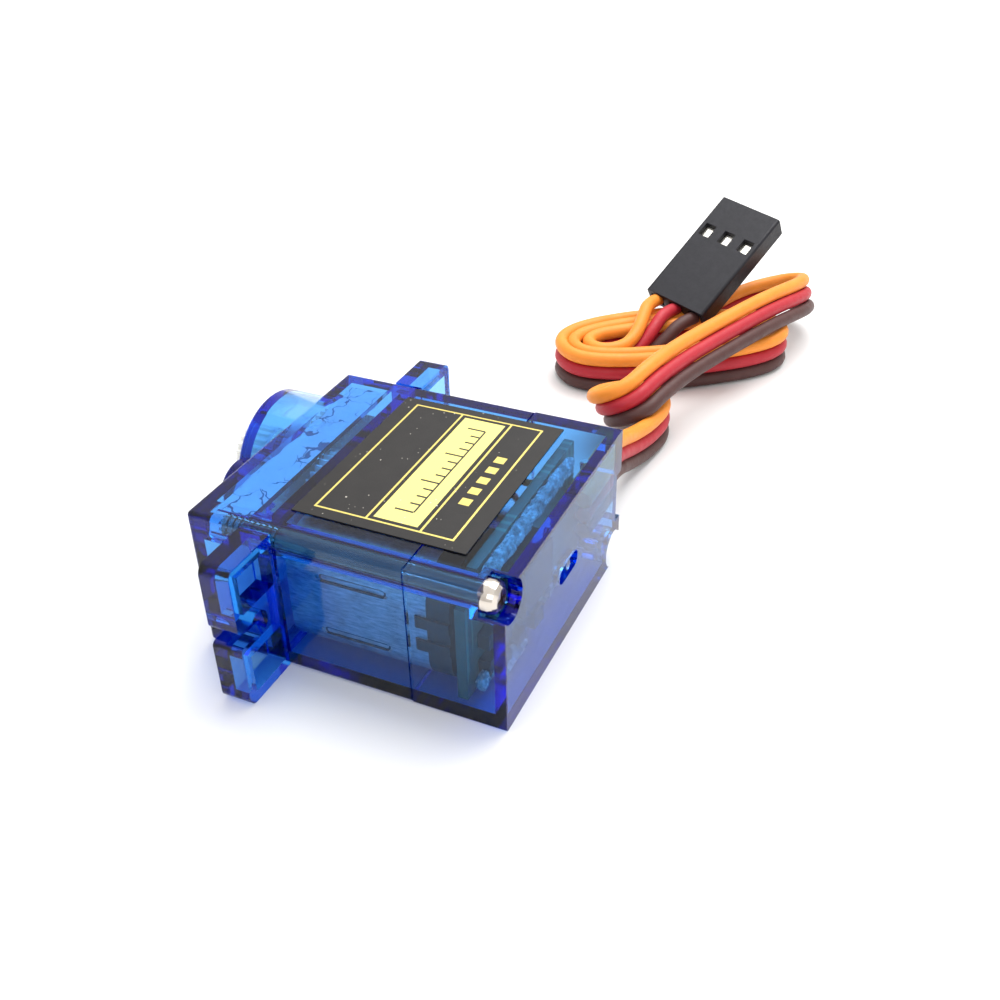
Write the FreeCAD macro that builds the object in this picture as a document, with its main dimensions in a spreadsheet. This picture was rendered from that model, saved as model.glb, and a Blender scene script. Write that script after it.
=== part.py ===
"""A nine-gram hobby servo motor with its lead coiled beside it, in millimetres.

The servo is drawn standing up: x along the mounting ears, y across the broad faces with the
label at -y, z from the bottom face up the output shaft.  Every piece is then laid down on its
broad face, so that in the finished model X runs along the ears, Y along the shaft and Z is up.
The cable is drawn directly where it lies.
"""

import FreeCAD, Part
import math
import os
import re

import Sketcher

SIZES = {
    # case
    "body_length": 22.8,
    "body_width": 12.0,
    "cover_height": 7.5,
    "middle_top": 20.25,
    "box_height": 25.0,
    "tower_top": 29.2,
    "total_height": 31.8,
    "wall": 0.9,
    "face_wall": 1.1,
    "corner_round": 0.4,
    "seam_chamfer": 0.12,
    "tower_radius": 5.9,
    "tower_bore": 5.1,
    "small_tower_radius": 2.8,
    "small_tower_bore": 2.0,
    "deck_underside": 17.9,
    "deck_thickness": 1.5,
    "partition": 0.8,
    "partition_gap": 0.25,
    "motor_boss_hole": 1.75,
    "pin_socket": 0.4,
    "gate_half_length": 1.1,
    "gate_radius": 0.7,
    "gate_depth": 0.6,
    "gate_offset": 0.4,
    "gate_nub_radius": 0.42,
    "gate_nub_offset": 0.25,
    "gate_nub_low": 0.15,
    # ears
    "ear_reach": 5.0,
    "ear_underside": 17.8,
    "ear_round": 0.8,
    "ear_hole_offset": 2.6,
    "ear_hole_radius": 1.0,
    "ear_mouth": 1.3,
    "ear_rim": 0.9,
    "ear_pocket_depth": 1.5,
    "ear_boss_half": 1.9,
    "ear_pocket_inset": 0.35,
    "overlap": 0.05,
    "breakout": 0.1,
    # case screws
    "screw_inset": 1.35,
    "screw_radius": 0.6,
    "screw_clearance": 0.68,
    "screw_post": 1.25,
    "screw_thin_post": 0.95,
    "screw_seat": 1.9,
    "screw_head_radius": 1.25,
    "screw_head_height": 1.1,
    "screw_tip": 22.9,
    "notch_radius": 1.6,
    "backing_in": 1.7,
    "backing_out": 0.8,
    "thread_depth": 0.13,
    "tip_length": 0.6,
    "head_crown_radius": 0.78,
    "head_shoulder_radius": 1.13,
    "head_shoulder": 0.22,
    "head_rim": 0.6,
    "cross_half": 0.62,
    "cross_half_width": 0.14,
    "cross_depth": 0.55,
    # cable exit
    "slot_half": 2.2,
    "slot_depth": 3.2,
    "wire_height": 2.4,
    "wire_radius": 0.7,
    "wire_pitch": 1.45,
    # label
    "label_length": 17.7,
    "label_height": 13.8,
    "label_low": 4.2,
    "label_centre": 0.55,
    "label_thickness": 0.1,
    # gear train
    "output_inset": 5.9,
    "centre_distance": 5.75,
    "gear_floor": 19.7,
    "gear_face": 0.9,
    "gear_step": 1.1,
    "output_face": 1.5,
    "web_depth": 0.25,
    "web_rim": 0.7,
    "web_hub": 0.4,
    "wheel_root": 4.18,
    "wheel_tip": 4.67,
    "wheel_tooth_base": 0.24,
    "wheel_tooth_tip": 0.08,
    "pinion_root": 0.96,
    "pinion_tip": 1.45,
    "pinion_tooth_base": 0.21,
    "pinion_tooth_tip": 0.08,
    "axle_radius": 0.5,
    "axle_bore": 0.55,
    "pot_shaft_radius": 0.6,
    "pot_shaft_bore": 0.65,
    "pot_shaft_socket": 1.2,
    "journal_radius": 2.3,
    "journal_bore": 2.36,
    "spline_root": 2.2,
    "spline_tip": 2.4,
    "spline_low": 0.3,
    "spline_tooth_base": 0.26,
    "spline_tooth_tip": 0.07,
    "horn_screw_radius": 0.85,
    "horn_screw_depth": 5.0,
    # motor
    "shaft_point": 0.35,
    "can_low": 6.4,
    "can_high": 17.6,
    "can_half_x": 4.0,
    "can_half_y": 4.65,
    "can_round": 2.4,
    "can_wall": 0.4,
    "cap_low": 4.6,
    "groove_spacing": 4.8,
    "groove_half": 0.28,
    "groove_depth": 0.16,
    "groove_low": 9.6,
    "groove_high": 14.9,
    "can_slot_half": 2.0,
    "can_slot_inner": 2.4,
    "boss_radius": 1.6,
    "bush_radius": 1.1,
    "boss_height": 1.0,
    "cap_floor": 0.5,
    "cap_bush_radius": 0.9,
    "cap_bore": 2.6,
    "hook_reach": 0.22,
    "hook_spread": 1.0,
    "hook_half": 0.45,
    "hook_rise": 0.9,
    "hook_round": 0.2,
    "armature_low": 9.6,
    "armature_high": 15.0,
    "armature_radius": 2.7,
    "armature_hub": 1.0,
    "arm_half": 0.4,
    "shoe_half": 1.3,
    "shoe_flat": 0.7,
    "shoe_drop": 0.5,
    "shoe_back": 0.7,
    "winding_low": 9.1,
    "winding_high": 15.5,
    "winding_inner": 1.15,
    "winding_half": 0.85,
    "winding_thickness": 0.6,
    "magnet_inner": 3.0,
    "magnet_low": 8.8,
    "magnet_high": 15.6,
    "magnet_gap": 3.0,
    "brush_half": 0.3,
    "brush_inner": 1.0,
    "brush_thickness": 0.25,
    "brush_foot": 2.55,
    "commutator_low": 5.3,
    "commutator_high": 7.0,
    "commutator_radius": 0.9,
    "terminal_half": 0.8,
    "terminal_thickness": 0.3,
    "terminal_spread": 3.3,
    # circuit board
    "board_low": 3.3,
    "board_thickness": 0.8,
    "board_half_y": 4.85,
    "board_left_gap": 0.25,
    "board_right_gap": 1.2,
    "board_post_gap": 0.25,
    # potentiometer
    "pot_low": 12.6,
    "pot_high": 17.2,
    "pot_radius": 4.5,
    "pot_wall": 0.6,
    "pot_boss_radius": 1.6,
    "track_thickness": 0.8,
    "wiper_low": 1.6,
    "wiper_hub_height": 0.8,
    "wiper_hub_radius": 1.3,
    "wiper_reach": 3.2,
    "wiper_half": 0.7,
    "wiper_thickness": 0.3,
    "pot_leg_length": 2.2,
    "pot_leg_near": 1.6,
    "pot_leg_far": 1.9,
    "pot_leg_half": 0.4,
    "pot_wire_radius": 0.3,
    "pot_wire_bend": 0.5,
    "pot_wire_aside": 0.9,
    "pot_wire_closer": 0.8,
    # connector
    "plug_length": 14.0,
    "plug_width": 7.6,
    "plug_depth": 2.5,
    "pin_pitch": 2.54,
    "plug_round": 0.3,
    "cavity_half": 0.75,
    "cavity_length": 11.0,
    "cavity_back": 3.0,
    "window_half": 0.65,
    "window_low": 5.4,
    "window_high": 3.8,
    "contact_half": 0.7,
    "contact_low": 3.05,
    "contact_bore": 0.45,
    "contact_bore_low": 6.0,
    "contact_inset": 1.0,
}

WHEEL_TEETH = 39
PINION_TEETH = 11
SPLINE_TEETH = 21
POLES = 3
THREAD_RIDGES = 9
THREAD_PITCH = 0.5
BEND_SHARE = 0.45

HALF_LENGTH = "(body_length / 2)"
HALF_WIDTH = "(body_width / 2)"
INNER_X = "(body_length / 2 - wall)"
INNER_Y = "(body_width / 2 - wall)"
SCREW_X = "(body_length / 2 - screw_inset)"
SCREW_Y = "(body_width / 2 - screw_inset)"
OUTPUT_X = "(body_length / 2 - output_inset)"
IDLER_X = "(body_length / 2 - output_inset - centre_distance)"
MOTOR_X = "(body_length / 2 - output_inset - 2 * centre_distance)"
DECK_TOP = "(deck_underside + deck_thickness)"
BOX_CEILING = "(box_height - wall)"
TOWER_CEILING = "(tower_top - wall)"
HOLE_X = "(body_length / 2 + ear_hole_offset)"
BOARD_TOP = "(board_low + board_thickness)"
INNER_LEAD_START = "(body_length / 2 - wall - 3.4)"
OUTER_WALLS = (f"-{HALF_LENGTH}", HALF_LENGTH, f"-{HALF_WIDTH}", HALF_WIDTH)
INNER_WALLS = (f"-{INNER_X}", INNER_X, f"-{INNER_Y}", INNER_Y)

doc = FreeCAD.newDocument("hobby_servo")
sizes_sheet = doc.addObject("Spreadsheet::Sheet", "Sizes")
pieces = []


# ---------------------------------------------------------------- sheet and expressions


def fill_sheet():
    """Writes one row per driving dimension: its name in column A and its value in column B."""
    for row, (name, size) in enumerate(SIZES.items(), start=1):
        sizes_sheet.set(f"A{row}", name)
        sizes_sheet.set(f"B{row}", str(size))
        sizes_sheet.setAlias(f"B{row}", name)
    doc.recompute()


def bound(text):
    """The expression with each dimension's name pointing at the sheet."""
    return re.sub(r"[a-z_]+", lambda word: "Sizes." + word[0] if word[0] in SIZES else word[0], text)


def size(text):
    """The present value of an expression, as a number."""
    return float(sizes_sheet.evalExpression(bound(text)))


# ---------------------------------------------------------------- bodies, sketches, features


def lay_down(piece, x="0", y="0", z="0"):
    """Places a piece drawn upright about its own axis: z becomes Y, and -y becomes up."""
    piece.Placement.Rotation = FreeCAD.Rotation(FreeCAD.Vector(1, 0, 0), -90)
    piece.setExpression("Placement.Base.x", bound(x))
    piece.setExpression("Placement.Base.y", bound(f"{z} - total_height / 2"))
    piece.setExpression("Placement.Base.z", bound(f"body_width / 2 - ({y})"))


def new_body(label, x="0", y="0", z="0", kept=True):
    """A PartDesign body standing at (x, y, z) of the upright servo."""
    body = doc.addObject("PartDesign::Body", label)
    body.Label = label
    lay_down(body, x, y, z)
    if kept:
        pieces.append(body)
    return body


def sketch_on(body, offset, plane="XY_Plane"):
    """An empty sketch parallel to one of the body's own origin planes."""
    origin_plane = next(item for item in body.Origin.OriginFeatures if item.Role == plane)
    sketch = body.newObject("Sketcher::SketchObject", "Sketch")
    sketch.AttachmentSupport = (origin_plane, "")
    sketch.MapMode = "FlatFace"
    sketch.setExpression("AttachmentOffset.Base.z", bound(offset))
    return sketch


def pin(sketch, geometry, vertex, x, y):
    """Fixes one point of a sketch at expressions x, y from the origin."""
    for kind, text in (("DistanceX", x), ("DistanceY", y)):
        index = sketch.addConstraint(Sketcher.Constraint(kind, -1, 1, geometry, vertex, size(text)))
        sketch.setExpression(f"Constraints[{index}]", bound(text))


def polygon(sketch, points):
    """A closed outline through points given as pairs of expressions."""
    corners = [FreeCAD.Vector(size(x), size(y), 0) for x, y in points]
    first = sketch.GeometryCount
    for start, end in zip(corners, corners[1:] + corners[:1]):
        sketch.addGeometry(Part.LineSegment(start, end))
    for number, (x, y) in enumerate(points):
        before = first + (number - 1) % len(points)
        sketch.addConstraint(Sketcher.Constraint("Coincident", before, 2, first + number, 1))
        pin(sketch, first + number, 1, x, y)


def block(sketch, x_low, x_high, y_low, y_high):
    """A rectangle between expressions."""
    polygon(sketch, [(x_low, y_low), (x_high, y_low), (x_high, y_high), (x_low, y_high)])


def circle(sketch, x, y, radius):
    """A circle with its centre and radius as expressions."""
    centre = FreeCAD.Vector(size(x), size(y), 0)
    index = sketch.addGeometry(Part.Circle(centre, FreeCAD.Vector(0, 0, 1), size(radius)))
    pin(sketch, index, 3, x, y)
    radius_index = sketch.addConstraint(Sketcher.Constraint("Radius", index, size(radius)))
    sketch.setExpression(f"Constraints[{radius_index}]", bound(radius))


def capsule(sketch, start, end, radius):
    """A round-ended slot between two centres, each a pair of expressions."""
    low, high = (FreeCAD.Vector(size(x), size(y), 0) for x, y in (start, end))
    angle = math.atan2(high.y - low.y, high.x - low.x)
    quarter = math.pi / 2
    side = FreeCAD.Vector(-math.sin(angle), math.cos(angle), 0) * size(radius)
    round_high = Part.Circle(high, FreeCAD.Vector(0, 0, 1), size(radius))
    round_low = Part.Circle(low, FreeCAD.Vector(0, 0, 1), size(radius))
    far = sketch.addGeometry(Part.ArcOfCircle(round_high, angle - quarter, angle + quarter))
    near = sketch.addGeometry(Part.ArcOfCircle(round_low, angle + quarter, angle + 3 * quarter))
    left = sketch.addGeometry(Part.LineSegment(high + side, low + side))
    right = sketch.addGeometry(Part.LineSegment(low - side, high - side))
    pin(sketch, far, 3, *end)
    pin(sketch, near, 3, *start)
    for one, other in ((far, left), (left, near), (near, right), (right, far)):
        sketch.addConstraint(Sketcher.Constraint("Tangent", one, 2, other, 1))
    radius_index = sketch.addConstraint(Sketcher.Constraint("Radius", far, size(radius)))
    sketch.setExpression(f"Constraints[{radius_index}]", bound(radius))
    sketch.addConstraint(Sketcher.Constraint("Equal", far, near))


def feature(body, kind, sketch, length):
    """A pad or pocket of a sketch, as long as the expression says."""
    made = body.newObject(f"PartDesign::{kind}", kind)
    made.Profile = sketch
    made.setExpression("Length", bound(length))
    body.Tip = made
    return made


def add(body, low, high, draw, *outline, plane="XY_Plane"):
    """Adds material between two heights of the plane's normal, inside the outline."""
    sketch = sketch_on(body, low, plane)
    draw(sketch, *outline)
    feature(body, "Pad", sketch, f"({high}) - ({low})")
    return sketch


def cut(body, low, high, draw, *outline, plane="XY_Plane"):
    """Removes material between two heights of the plane's normal, inside the outline."""
    doc.recompute()
    volume = body.Shape.Volume
    sketch = sketch_on(body, low, plane)
    draw(sketch, *outline)
    feature(body, "Pocket", sketch, f"({high}) - ({low})").Reversed = True
    doc.recompute()
    if body.Shape.Volume > volume - 1e-5:
        raise RuntimeError(f"a pocket of {body.Label} cuts nothing: {outline}")


def turned(body, profile):
    """Adds a solid of revolution about the body's own axis; the profile is (radius, height) pairs."""
    sketch = sketch_on(body, "0", "XZ_Plane")
    polygon(sketch, profile)
    made = body.newObject("PartDesign::Revolution", "Revolution")
    made.Profile = sketch
    made.ReferenceAxis = (sketch, ["V_Axis"])
    made.Angle = 360
    body.Tip = made


def ring_of(body, sketch, count):
    """Repeats the last pad round the body's axis."""
    pattern = body.newObject("PartDesign::PolarPattern", "PolarPattern")
    pattern.Originals = [body.Tip]
    pattern.Axis = (sketch, ["N_Axis"])
    pattern.Angle = 360
    pattern.Occurrences = count
    body.Tip = pattern


def round_edges(body, radius, wanted, kind="Fillet"):
    """Fillets or chamfers each edge that wanted(edge) accepts."""
    doc.recompute()
    base = body.Tip
    names = [f"Edge{n}" for n, edge in enumerate(base.Shape.Edges, start=1) if wanted(edge)]
    if not names:
        raise RuntimeError(f"no edge of {body.Label} to round")
    made = body.newObject(f"PartDesign::{kind}", kind)
    made.Base = (base, names)
    made.setExpression("Radius" if kind == "Fillet" else "Size", bound(radius))
    body.Tip = made
    doc.recompute()


def upright_edge(edge, x, y):
    """True for a straight edge along the shaft whose distance from the centre is |x|, |y|."""
    box = edge.BoundBox
    along = box.ZLength > 0.1 and box.XLength < 1e-4 and box.YLength < 1e-4
    return along and abs(abs(box.XMin) - size(x)) < 1e-3 and abs(abs(box.YMin) - size(y)) < 1e-3


def outer_rim(edge, height):
    """True for an edge of the case's outer walls at one height."""
    box = edge.BoundBox
    if box.ZLength > 1e-4 or abs(box.ZMin - size(height)) > 1e-3:
        return False
    on_long = box.YLength < 1e-4 and abs(abs(box.YMin) - size(HALF_WIDTH)) < 1e-3
    on_short = box.XLength < 1e-4 and abs(abs(box.XMin) - size(HALF_LENGTH)) < 1e-3
    return on_long or on_short


def plain_shape(label, shape):
    """A Part::Feature for a piece that sketches don't suit, such as a bent wire."""
    piece = doc.addObject("Part::Feature", label)
    piece.Label = label
    piece.Shape = shape
    pieces.append(piece)
    return piece


def group(label, members):
    """Several separate solids of one kind in one node."""
    compound = doc.addObject("Part::Compound", label)
    compound.Label = label
    compound.Links = members
    pieces.append(compound)


# ---------------------------------------------------------------- case


def screw_corners():
    """The two corners, on a diagonal, that the long case screws pass through."""
    return ((f"-{SCREW_X}", f"-{SCREW_Y}", "-1"), (SCREW_X, SCREW_Y, "1"))


def bottom_cover():
    body = new_body("bottom_cover")
    add(body, "0", "cover_height", block, *OUTER_WALLS)
    round_edges(body, "corner_round / 2", lambda edge: upright_edge(edge, HALF_LENGTH, HALF_WIDTH))
    cut(body, "face_wall", "cover_height", block, *INNER_WALLS)
    for x, y, sign in screw_corners():
        screw_seat(body, x, y, sign)
    slot = (f"{INNER_X} - breakout", f"{HALF_LENGTH} + breakout", "-slot_half", "slot_half")
    cut(body, "0", "slot_depth", block, *slot)
    gate_recess(body)
    round_edges(body, "seam_chamfer", lambda edge: outer_rim(edge, "cover_height"), "Chamfer")


def screw_seat(body, x, y, sign):
    """A corner of the cover cut away for a screw head, with its backing and the post above it."""
    backing = "screw_seat + wall"
    inward = (f"{x} - {sign} * backing_in", f"{y} - {sign} * backing_in")
    outward = (f"{x} + {sign} * backing_out", f"{y} + {sign} * backing_out")
    add(body, "face_wall", backing, block, inward[0], outward[0], inward[1], outward[1])
    add(body, backing, "cover_height", circle, x, y, "screw_thin_post")
    cut(body, "0", "screw_seat", circle, x, y, "notch_radius")
    reach = f"{sign} * (screw_inset + breakout)"
    cut(body, "0", "screw_seat", block, x, f"{x} + {reach}", y, f"{y} + {reach}")
    cut(body, "screw_seat", "cover_height", circle, x, y, "screw_clearance")


def gate_recess(body):
    """The shallow moulded recess near the middle of the bottom face, with its small round nub."""
    ends = (("-gate_half_length", "-gate_offset"), ("gate_half_length", "-gate_offset"))
    cut(body, "0", "gate_depth", capsule, *ends, "gate_radius")
    add(body, "gate_nub_low", "gate_depth", circle, "gate_nub_offset", "-gate_offset", "gate_nub_radius")


def middle_case():
    body = new_body("middle_case")
    add(body, "cover_height", "middle_top", block, *OUTER_WALLS)
    round_edges(body, "corner_round", lambda edge: upright_edge(edge, HALF_LENGTH, HALF_WIDTH))
    cut(body, "cover_height", "deck_underside", block, *INNER_WALLS)
    cut(body, DECK_TOP, "middle_top", block, *INNER_WALLS)
    between = f"({MOTOR_X} + can_half_x + partition_gap)"
    partition = (between, f"{between} + partition", f"-{INNER_Y}", INNER_Y)
    add(body, "can_low + can_round", "deck_underside", block, *partition)
    for x, y, _ in screw_corners():
        add(body, "cover_height", "deck_underside", circle, x, y, "screw_thin_post")
        add(body, DECK_TOP, "middle_top", circle, x, y, "screw_post")
        cut(body, "cover_height", "middle_top", circle, x, y, "screw_clearance")
    cut(body, "deck_underside", DECK_TOP, circle, MOTOR_X, "0", "motor_boss_hole")
    cut(body, "deck_underside", DECK_TOP, circle, OUTPUT_X, "0", "pot_shaft_bore")
    cut(body, f"{DECK_TOP} - pin_socket * 2", DECK_TOP, circle, IDLER_X, "0", "axle_radius")
    for side in ("-1", "1"):
        ear(body, side)


def ear(body, side):
    """One mounting ear: a plate with a hole open to its outer edge and two pockets underneath."""
    sign = float(side)
    tip = f"({HALF_LENGTH} + ear_reach)"
    plate = (f"{side} * ({HALF_LENGTH} - overlap)", f"{side} * {tip}", f"-{HALF_WIDTH}", HALF_WIDTH)
    add(body, "ear_underside", "middle_top", block, *plate)

    def tip_edge(edge, y):
        return upright_edge(edge, tip, y) and edge.BoundBox.XMin * sign > 0

    round_edges(body, "ear_round", lambda edge: tip_edge(edge, HALF_WIDTH))
    hole = f"{side} * {HOLE_X}"
    cut(body, "ear_underside", "middle_top", circle, hole, "0", "ear_hole_radius")
    mouth = (hole, f"{side} * ({tip} + breakout)", "-ear_mouth / 2", "ear_mouth / 2")
    cut(body, "ear_underside", "middle_top", block, *mouth)
    near = f"{side} * ({HALF_LENGTH} + ear_pocket_inset)"
    far = f"{side} * ({tip} - ear_rim)"
    pocket_top = "ear_underside + ear_pocket_depth"
    for half in ("-1", "1"):
        low = f"{half} * ear_boss_half"
        high = f"{half} * ({HALF_WIDTH} - ear_rim)"
        cut(body, "ear_underside", pocket_top, block, near, far, low, high)
    round_edges(body, "ear_round / 2", lambda edge: tip_edge(edge, "ear_mouth / 2"))


def top_case():
    body = new_body("top_case")
    add(body, "middle_top", "box_height", block, *OUTER_WALLS)
    round_edges(body, "corner_round", lambda edge: upright_edge(edge, HALF_LENGTH, HALF_WIDTH))
    round_edges(body, "corner_round", lambda edge: abs(edge.BoundBox.ZMin - size("box_height")) < 1e-3)
    add(body, "box_height - wall", "tower_top", circle, OUTPUT_X, "0", "tower_radius")
    add(body, "box_height - wall", "tower_top", circle, IDLER_X, "0", "small_tower_radius")
    round_edges(body, "corner_round", lambda edge: abs(edge.BoundBox.ZMin - size("tower_top")) < 1e-3)
    cut(body, "middle_top", BOX_CEILING, block, *INNER_WALLS)
    cut(body, "middle_top", TOWER_CEILING, circle, OUTPUT_X, "0", "tower_bore")
    cut(body, BOX_CEILING, TOWER_CEILING, circle, IDLER_X, "0", "small_tower_bore")
    for x, y, _ in screw_corners():
        add(body, "middle_top", BOX_CEILING, circle, x, y, "screw_post")
        cut(body, "middle_top", "screw_tip + pin_socket", circle, x, y, "screw_radius")
    cut(body, TOWER_CEILING, "tower_top", circle, OUTPUT_X, "0", "journal_bore")
    cut(body, TOWER_CEILING, f"{TOWER_CEILING} + pin_socket", circle, IDLER_X, "0", "axle_radius")


def case_screws():
    """Two long pan-head screws, threaded only near the tip, with a cross recess."""
    screws = []
    for x, y, _ in screw_corners():
        body = new_body("case_screw", x, y, "0", kept=False)
        top = "screw_seat - screw_head_height"
        profile = [("0", top), ("head_crown_radius", top)]
        profile += [("head_shoulder_radius", f"{top} + head_shoulder")]
        profile += [("screw_head_radius", f"{top} + head_rim"), ("screw_head_radius", "screw_seat")]
        profile += [("screw_radius", "screw_seat")]
        for ridge in range(THREAD_RIDGES, 0, -1):
            crest = f"screw_tip - tip_length - {ridge * THREAD_PITCH}"
            profile += [("screw_radius", crest)]
            profile += [("screw_radius - thread_depth", f"{crest} + {THREAD_PITCH / 2}")]
        profile += [("screw_radius", "screw_tip - tip_length"), ("0", "screw_tip")]
        turned(body, profile)
        long_way = ("-cross_half", "cross_half")
        short_way = ("-cross_half_width", "cross_half_width")
        cut(body, top, f"{top} + cross_depth", block, *long_way, *short_way)
        cut(body, top, f"{top} + cross_depth", block, *short_way, *long_way)
        screws.append(body)
    group("case_screws", screws)


def label():
    """The printed foil on the upper broad face."""
    body = new_body("label", "label_centre")
    outline = ("-label_length / 2", "label_length / 2", "label_low", "label_low + label_height")
    add(body, HALF_WIDTH, f"{HALF_WIDTH} + label_thickness", block, *outline, plane="XZ_Plane")


# ---------------------------------------------------------------- motor


def rounded_box(body, low, high, shrink="0"):
    """A block with the motor's rounded square section."""
    half_x = f"(can_half_x - {shrink})"
    half_y = f"(can_half_y - {shrink})"
    add(body, low, high, block, f"-{half_x}", half_x, f"-{half_y}", half_y)
    round_edges(body, f"can_round - {shrink}", lambda edge: upright_edge(edge, half_x, half_y))


def motor_can():
    body = new_body("motor_can", MOTOR_X)
    rounded_box(body, "can_low", "can_high")
    inner_top = "(can_high - can_wall)"
    boss_top = "(can_high + boss_height)"
    add(body, inner_top, boss_top, circle, "0", "0", "boss_radius")
    cut(body, "can_low", inner_top, circle, "0", "0", "can_half_x - can_wall")
    for half in ("-1", "1"):
        side = (f"{half} * can_slot_inner", f"{half} * (can_half_y - can_wall)")
        cut(body, "can_low", inner_top, block, "-can_slot_half", "can_slot_half", *side)
    cut(body, inner_top, boss_top, circle, "0", "0", "bush_radius")
    for half in ("-1", "1"):
        across = f"{half} * groove_spacing / 2"
        for low in ("-can_half_x", "can_half_x - groove_depth"):
            groove = ((across, "groove_low"), (across, "groove_high"), "groove_half")
            cut(body, low, f"{low} + groove_depth", capsule, *groove, plane="YZ_Plane")


def motor_end_cap():
    """The black moulded cap that holds the brushes, with two hooks over the can's edge."""
    body = new_body("motor_end_cap", MOTOR_X)
    rounded_box(body, "cap_low", "can_low")
    cut(body, "cap_low + cap_floor", "can_low", circle, "0", "0", "cap_bore")
    cut(body, "cap_low", "cap_low + cap_floor", circle, "0", "0", "cap_bush_radius")
    for half in ("-1", "1"):
        across = f"{half} * hook_spread"
        hook = ("-can_half_x - hook_reach", "-can_half_x", f"{across} - hook_half", f"{across} + hook_half")
        add(body, "cap_low", "can_low + hook_rise", block, *hook)
        round_edges(body, "hook_round", hook_end)


def hook_end(edge):
    """True for the sharp outer edges at the end of a hook of the end cap."""
    box = edge.BoundBox
    at_end = abs(box.ZMin - size("can_low + hook_rise")) < 1e-3 and box.ZLength < 1e-4
    return at_end and abs(box.XMax + size("can_half_x + hook_reach")) < 1e-3 and box.XLength < 1e-4


def motor_magnets():
    """Two curved magnets, glued inside the can's two narrow sides."""
    halves = []
    for half in ("-1", "1"):
        body = new_body("motor_magnet", MOTOR_X, kept=False)
        add(body, "magnet_low", "magnet_high", circle, "0", "0", "can_half_x - can_wall")
        cut(body, "magnet_low", "magnet_high", circle, "0", "0", "magnet_inner")
        side = (f"{half} * magnet_gap / 2", f"{half} * -can_half_x")
        cut(body, "magnet_low", "magnet_high", block, *side, "-can_half_y", "can_half_y")
        halves.append(body)
    group("motor_magnets", halves)


def motor_bushings():
    """Sintered bushes for the motor shaft, one in the can's boss and one in the end cap."""
    bushes = []
    in_boss = ("can_high - can_wall", "can_high + boss_height", "bush_radius")
    in_cap = ("cap_low", "cap_low + cap_floor", "cap_bush_radius")
    for low, high, outer in (in_boss, in_cap):
        body = new_body("motor_bush", MOTOR_X, kept=False)
        add(body, low, high, circle, "0", "0", outer)
        cut(body, low, high, circle, "0", "0", "axle_bore")
        bushes.append(body)
    group("motor_bushings", bushes)


def motor_brushes():
    """Two thin springy brushes that press on the commutator."""
    brushes = []
    low = "cap_low + cap_floor"
    for half in ("-1", "1"):
        body = new_body("motor_brush", MOTOR_X, kept=False)
        near = f"{half} * brush_inner"
        blade = ("-brush_half", "brush_half", near, f"{near} + {half} * brush_thickness")
        foot = ("-brush_half", "brush_half", near, f"{half} * brush_foot")
        add(body, low, "can_low", block, *blade)
        add(body, low, f"{low} + brush_thickness", block, *foot)
        brushes.append(body)
    group("motor_brushes", brushes)


def motor_terminals():
    """Two solder tabs from the end cap to the circuit board."""
    tabs = []
    thickness = ("-terminal_thickness / 2", "terminal_thickness / 2")
    for half in ("-1", "1"):
        body = new_body("motor_terminal", MOTOR_X, f"{half} * terminal_spread", kept=False)
        add(body, BOARD_TOP, "cap_low", block, "-terminal_half", "terminal_half", *thickness)
        tabs.append(body)
    group("motor_terminals", tabs)


def rotor():
    """The pieces that turn with the motor shaft."""
    shaft = new_body("motor_shaft", MOTOR_X)
    pinion_high = "gear_floor + gear_face"
    shaft_top = f"{pinion_high} + pin_socket"
    profile = [("0", "cap_low"), ("axle_radius", "cap_low")]
    profile += [("axle_radius", f"{pinion_high} + pin_socket / 2"), ("shaft_point", shaft_top)]
    turned(shaft, profile + [("0", shaft_top)])
    pinion = toothed_wheel("motor_pinion", MOTOR_X, "gear_floor", pinion_high, "pinion", PINION_TEETH)
    cut(pinion, "gear_floor", pinion_high, circle, "0", "0", "axle_radius")
    armature_core()
    armature_windings()
    commutator = new_body("commutator", MOTOR_X)
    add(commutator, "commutator_low", "commutator_high", circle, "0", "0", "commutator_radius")
    cut(commutator, "commutator_low", "commutator_high", circle, "0", "0", "axle_radius")


def armature_core():
    """A laminated core: a hub, three arms and three curved shoes."""
    body = new_body("armature_core", MOTOR_X)
    ends = ("armature_low", "armature_high")
    add(body, *ends, circle, "0", "0", "armature_hub")
    arm = ("armature_hub - arm_half", "armature_radius - arm_half", "-arm_half", "arm_half")
    ring_of(body, add(body, *ends, block, *arm), POLES)
    drop = "armature_radius - shoe_drop"
    shoe = [(drop, "-shoe_half"), ("armature_radius", "-shoe_flat"), ("armature_radius", "shoe_flat")]
    shoe += [(drop, "shoe_half"), ("armature_radius - shoe_back", "0")]
    ring_of(body, add(body, *ends, polygon, shoe), POLES)
    cut(body, *ends, circle, "0", "0", "axle_radius")


def armature_windings():
    """A copper coil round each of the arms, drawn as a collar."""
    coils = []
    for number in range(POLES):
        body = new_body("winding", MOTOR_X, kept=False)
        outer = "winding_inner + winding_thickness"
        along = ("winding_inner", outer)
        add(body, "winding_low", "winding_high", block, *along, "-winding_half", "winding_half")
        cut(body, "armature_low", "armature_high", block, *along, "-arm_half", "arm_half")
        upright = FreeCAD.Rotation(FreeCAD.Vector(0, 0, 1), 360 / POLES * number)
        body.Placement.Rotation = body.Placement.Rotation.multiply(upright)
        coils.append(body)
    group("armature_windings", coils)


# ---------------------------------------------------------------- gear train


def toothed_wheel(name, x, low, high, kind, teeth):
    """A spur gear about its own axis; kind is wheel or pinion, whose tooth sizes are in the sheet."""
    body = new_body(name, x)
    add_teeth(body, low, high, kind, teeth)
    return body


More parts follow.
